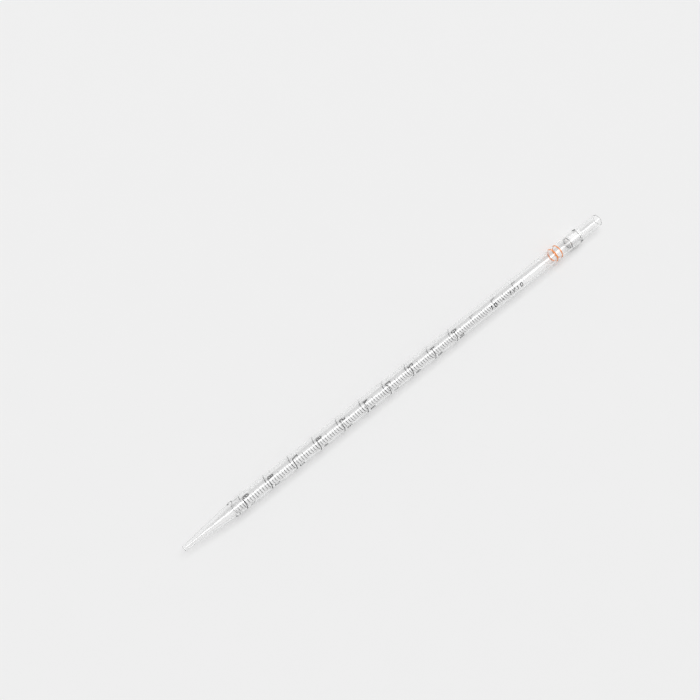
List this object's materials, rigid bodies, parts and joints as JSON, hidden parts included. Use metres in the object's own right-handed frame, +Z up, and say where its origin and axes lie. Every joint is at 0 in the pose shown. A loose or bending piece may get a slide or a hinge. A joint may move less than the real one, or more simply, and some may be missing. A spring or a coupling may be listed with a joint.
{
  "type": "serological pipette",
  "caption": "Disposable clear plastic graduated pipette with a welded tapered tip, a cotton-plugged mouthpiece, a printed volume scale and coloured bands, lying flat.",
  "frame": {"origin": "on the surface it lies on, under the middle of its length", "axes": "+X along the pipette towards the mouthpiece, +Z up, +Y to its left seen from the tip end"},
  "size_m": [0.343, 0.0098, 0.0098],
  "materials": {
    "clear_polystyrene": "clear, glossy, as extruded and moulded",
    "cotton_plug": "pressed cotton fibre",
    "black_ink": "thin printed ink",
    "orange_ink": "thin printed ink, slightly see-through"
  },
  "bodies": {
    "root": {"barrel_tube": "clear_polystyrene", "colour_band_inner": "orange_ink", "colour_band_outer": "orange_ink", "filter_plug": "cotton_plug", "minor_ticks_0_1_ml": "black_ink", "minor_ticks_1_2_ml": "black_ink", "minor_ticks_2_3_ml": "black_ink", "minor_ticks_3_4_ml": "black_ink", "minor_ticks_4_5_ml": "black_ink", "minor_ticks_5_6_ml": "black_ink", "minor_ticks_6_7_ml": "black_ink", "minor_ticks_7_8_ml": "black_ink", "minor_ticks_8_9_ml": "black_ink", "minor_ticks_past_lowest": "black_ink", "mouthpiece": "clear_polystyrene", "reserve_line_1_ml": "black_ink", "reserve_line_2_ml": "black_ink", "reserve_line_3_ml": "black_ink", "reserve_ticks_0_1_ml": "black_ink", "reserve_ticks_1_2_ml": "black_ink", "reserve_ticks_2_3_ml": "black_ink", "ring_line_0_ml": "black_ink", "ring_line_1_ml": "black_ink", "ring_line_2_ml": "black_ink", "ring_line_3_ml": "black_ink", "ring_line_4_ml": "black_ink", "ring_line_5_ml": "black_ink", "ring_line_6_ml": "black_ink", "ring_line_7_ml": "black_ink", "ring_line_8_ml": "black_ink", "ring_line_9_ml": "black_ink", "tip": "clear_polystyrene"}
  },
  "joints": []
}
